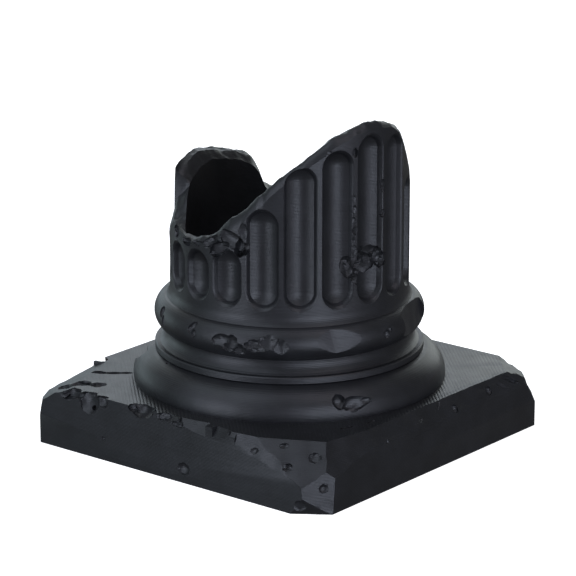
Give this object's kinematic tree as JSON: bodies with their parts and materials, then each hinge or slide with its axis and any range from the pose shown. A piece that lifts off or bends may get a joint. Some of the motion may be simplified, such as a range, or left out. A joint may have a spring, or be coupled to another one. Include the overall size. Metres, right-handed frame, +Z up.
{
  "type": "miniature terrain ruin",
  "caption": "Broken foot of a fluted column on a chipped square plinth: two round rings with a hollow moulding between, a torn slanting rim and a pit in the core.",
  "frame": {"origin": "middle of the plinth's square underside, on the table", "axes": "+Z up along the column; +X and +Y square to the plinth's side faces, with the most broken corner at +X -Y and the highest point of the rim towards +X"},
  "size_m": [0.05, 0.05, 0.0485],
  "materials": {
    "printed_plastic": "satin black printed plastic with fine layer lines"
  },
  "bodies": {
    "root": {"plinth": "printed_plastic", "lower_torus": "printed_plastic", "scotia": "printed_plastic", "upper_torus": "printed_plastic", "fluted_shaft": "printed_plastic"}
  },
  "joints": []
}
